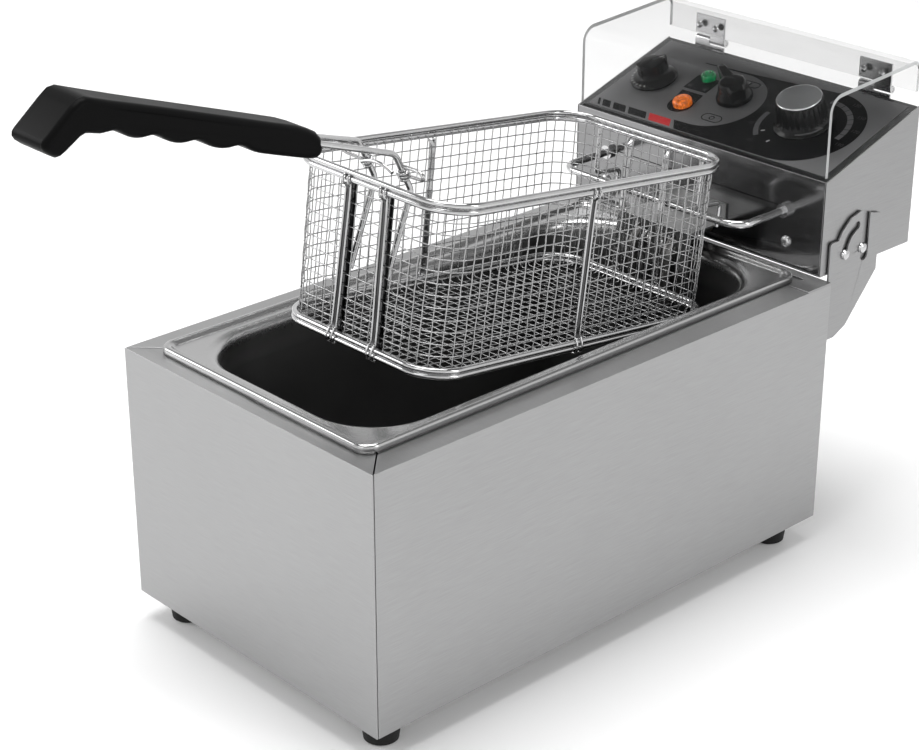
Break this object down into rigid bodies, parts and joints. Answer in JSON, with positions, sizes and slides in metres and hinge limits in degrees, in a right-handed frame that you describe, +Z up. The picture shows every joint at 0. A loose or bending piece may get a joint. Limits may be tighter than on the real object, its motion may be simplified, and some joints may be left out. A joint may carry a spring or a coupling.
{
  "type": "deep fryer",
  "caption": "Counter-top deep fryer: steel body with a removable oil pan, tilting control head with knobs, lamps and clear cover, and a hanging wire basket with a grip handle.",
  "frame": {"origin": "middle of the whole fryer's box, on the floor under the feet", "axes": "+Z up, -Y towards the user and the basket's grip, +X to the user's right"},
  "size_m": [0.2166, 0.5826, 0.3753],
  "materials": {
    "body_steel": "fine vertical brush, satin",
    "pan_steel": "satin drawn steel",
    "head_steel": "brushed",
    "face_steel": "polished",
    "chrome_wire": "bright plated wire",
    "zinc": "plated fasteners",
    "element_steel": "heat-tinted tube",
    "brass": "machined",
    "copper_bulb": "drawn",
    "rubber": "moulded",
    "black_plastic": "moulded, fine grain",
    "grip_plastic": "moulded, fine grain",
    "spun_cap": "spun",
    "label_film": "printed film",
    "clear_acrylic": "clear sheet",
    "green_lens": "translucent",
    "orange_lens": "translucent",
    "case_plastic": "moulded",
    "ceramic": "glazed ceramic",
    "reset_red": "moulded"
  },
  "bodies": {
    "base": {"side_wrap": "body_steel", "front_panel": "body_steel", "base_plate": "body_steel", "rear_top_plate": "body_steel", "feet": "rubber", "foot_screws": "zinc", "pan": "pan_steel", "hinge_bracket": "head_steel", "bracket_screws": "zinc"},
    "head": {"head_housing": "head_steel", "head_face": "face_steel", "head_back_cover": "head_steel", "back_screws": "zinc", "control_overlay": "label_film", "face_screws": "zinc", "pivot_pins": "zinc", "pin_nuts": "zinc", "basket_hanger": "chrome_wire", "hanger_nuts": "zinc", "heating_element": "element_steel", "element_fittings": "brass", "element_guard": "pan_steel", "guard_shelf": "pan_steel", "thermostat_bulb": "copper_bulb", "limit_bulb": "copper_bulb", "bulb_clips": "zinc", "thermostat_body": "case_plastic", "timer_body": "case_plastic", "switch_body": "black_plastic", "contactor": "black_plastic", "terminal_block": "ceramic", "microswitch": "black_plastic", "limit_thermostat": "ceramic", "cord_gland": "black_plastic", "green_lamp": "green_lens", "orange_lamp": "orange_lens", "hinge_lower_leaves": "zinc", "hinge_pins": "zinc", "hinge_lower_rivets": "zinc"},
    "lid": {"cover": "clear_acrylic", "hinge_upper_leaves": "zinc", "hinge_upper_rivets": "zinc"},
    "timer": {"timer_knob": "black_plastic", "timer_shaft": "zinc"},
    "switch": {"switch_knob": "black_plastic", "switch_shaft": "zinc"},
    "thermostat": {"thermostat_knob": "black_plastic", "thermostat_cap": "spun_cap", "thermostat_shaft": "zinc"},
    "reset": {"reset_button": "reset_red"},
    "basket": {"basket_mesh": "chrome_wire", "basket_rim": "chrome_wire", "basket_frame": "chrome_wire", "basket_straps": "chrome_wire", "basket_hooks": "chrome_wire", "handle_wires": "chrome_wire", "handle_bridge": "chrome_wire", "handle_grip": "grip_plastic"}
  },
  "joints": [
    {"name": "head_tilt", "type": "hinge", "parent": "base", "child": "head", "pos_m": [0, 0.2283, 0.192], "axis": [-1, 0, 0], "range_deg": [0, 68]},
    {"name": "lid_hinge", "type": "hinge", "parent": "head", "child": "lid", "pos_m": [0, 0.282, 0.27543], "axis": [-1, 0, 0], "range_deg": [0, 105]},
    {"name": "timer_turn", "type": "hinge", "parent": "head", "child": "timer", "pos_m": [-0.075, 0.23405, 0.25655], "axis": [0, 0.3123, -0.95], "range_deg": [0, 300]},
    {"name": "switch_turn", "type": "hinge", "parent": "head", "child": "switch", "pos_m": [-0.009, 0.23785, 0.2578], "axis": [0, 0.3123, -0.95], "range_deg": [0, 60]},
    {"name": "thermostat_turn", "type": "hinge", "parent": "head", "child": "thermostat", "pos_m": [0.051, 0.2331, 0.25624], "axis": [0, 0.3123, -0.95], "range_deg": [0, 290]},
    {"name": "reset_press", "type": "slide", "parent": "head", "child": "reset", "axis": [0, -1, 0], "range_m": [0, 0.0024], "stiffness_N_per_m": 400, "springref_m": -0.0005},
    {"name": "basket_lift", "type": "slide", "parent": "head", "child": "basket", "axis": [0, 0, 1], "range_m": [0, 0.15]}
  ]
}
